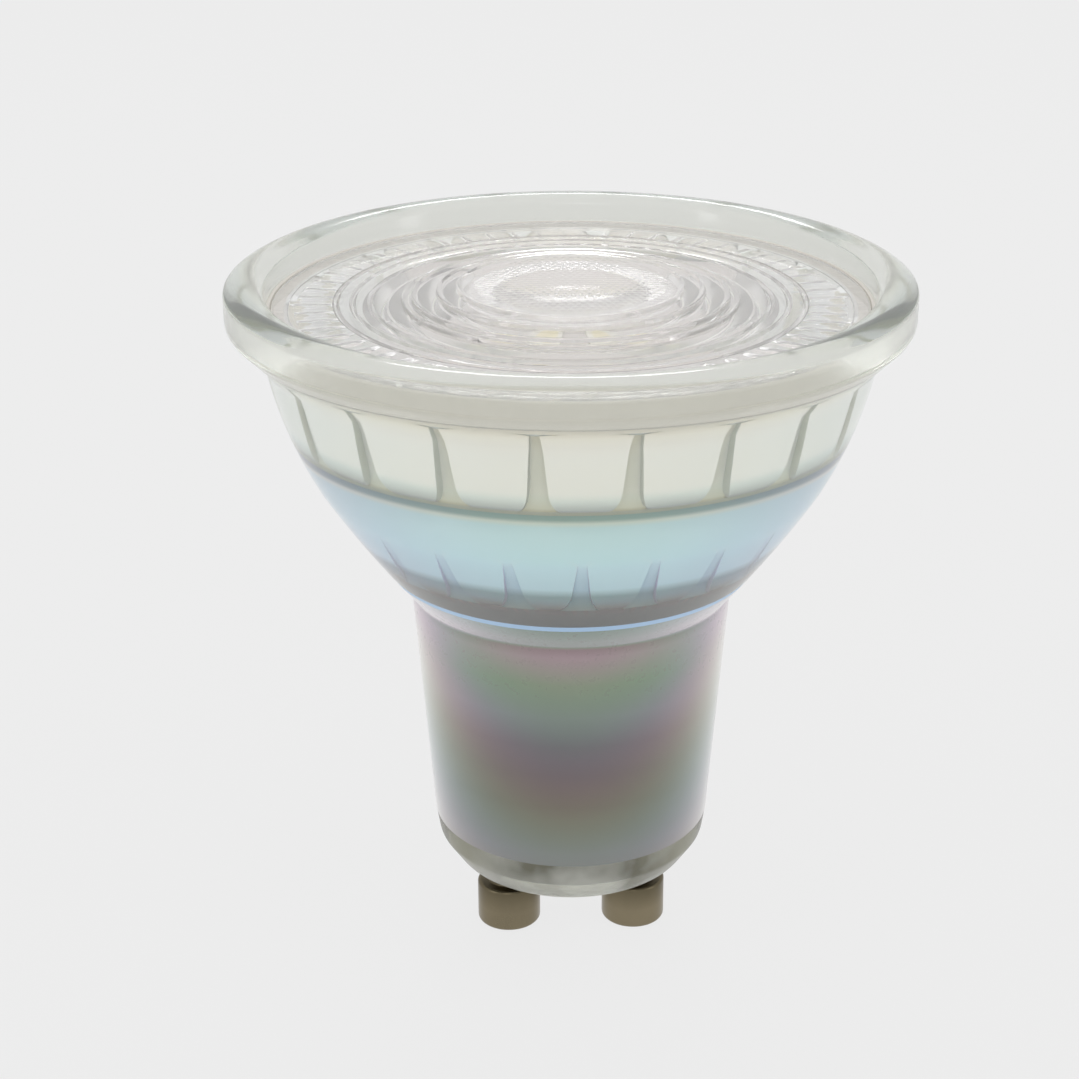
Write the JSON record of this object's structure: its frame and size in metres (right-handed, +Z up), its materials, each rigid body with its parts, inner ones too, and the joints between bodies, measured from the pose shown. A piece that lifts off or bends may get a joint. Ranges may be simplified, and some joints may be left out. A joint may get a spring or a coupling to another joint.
{
  "type": "reflector spotlight bulb",
  "caption": "GU10 spotlight bulb: fluted pressed-glass body, ringed clear lens over an LED board, driver in the neck, and twist-lock contact pins.",
  "frame": {"origin": "midway between the two contact pins, on the plane of their ends", "axes": "+Z up the lamp's axis to the lens, X through both contact pins"},
  "size_m": [0.05, 0.05, 0.054],
  "materials": {
    "bulb_glass": "gloss",
    "lens_clear": "gloss",
    "seal_silicone": "satin",
    "pin_nickel": "satin",
    "aluminium": "satin",
    "pad_silicone": "matte",
    "white_board": "satin",
    "green_board": "satin",
    "white_plastic": "matte",
    "phosphor": "gloss",
    "black_resin": "matte",
    "chip_black": "satin",
    "chip_tan": "satin",
    "tinned_metal": "satin",
    "solder": "gloss",
    "copper": "satin",
    "ferrite": "matte",
    "bung_rubber": "matte",
    "shrink_sleeve": "gloss",
    "dipped_resin": "gloss",
    "fuse_coating": "satin"
  },
  "bodies": {
    "root": {"board_resistors": "chip_black", "bridge_rectifier": "black_resin", "bridge_rectifier_leads": "tinned_metal", "capacitor_bung": "bung_rubber", "capacitor_can": "aluminium", "capacitor_leads": "tinned_metal", "capacitor_sleeve": "shrink_sleeve", "contact_pin_left": "pin_nickel", "contact_pin_right": "pin_nickel", "driver_board": "green_board", "driver_capacitors": "chip_tan", "driver_chip": "black_resin", "driver_chip_leads": "tinned_metal", "driver_resistors": "chip_black", "film_capacitor": "dipped_resin", "film_capacitor_leads": "tinned_metal", "front_lens": "lens_clear", "fuse_resistor": "fuse_coating", "fuse_resistor_leads": "tinned_metal", "glass_body": "bulb_glass", "header_pin_left": "tinned_metal", "header_pin_right": "tinned_metal", "header_solder": "solder", "heat_spreader": "aluminium", "inductor_core": "ferrite", "inductor_leads": "tinned_metal", "inductor_winding": "copper", "insulating_sleeve": "white_plastic", "lead_wire_left": "tinned_metal", "lead_wire_right": "tinned_metal", "lead_wire_solder": "solder", "led_board": "white_board", "led_case_1": "white_plastic", "led_case_2": "white_plastic", "led_case_3": "white_plastic", "led_case_4": "white_plastic", "led_case_5": "white_plastic", "led_case_6": "white_plastic", "led_case_7": "white_plastic", "led_case_8": "white_plastic", "led_phosphor_1": "phosphor", "led_phosphor_2": "phosphor", "led_phosphor_3": "phosphor", "led_phosphor_4": "phosphor", "led_phosphor_5": "phosphor", "led_phosphor_6": "phosphor", "led_phosphor_7": "phosphor", "led_phosphor_8": "phosphor", "lens_seal": "seal_silicone", "output_diode": "black_resin", "output_diode_leads": "tinned_metal", "thermal_pad": "pad_silicone", "wire_insulation_left": "white_plastic", "wire_insulation_right": "white_plastic"}
  },
  "joints": []
}
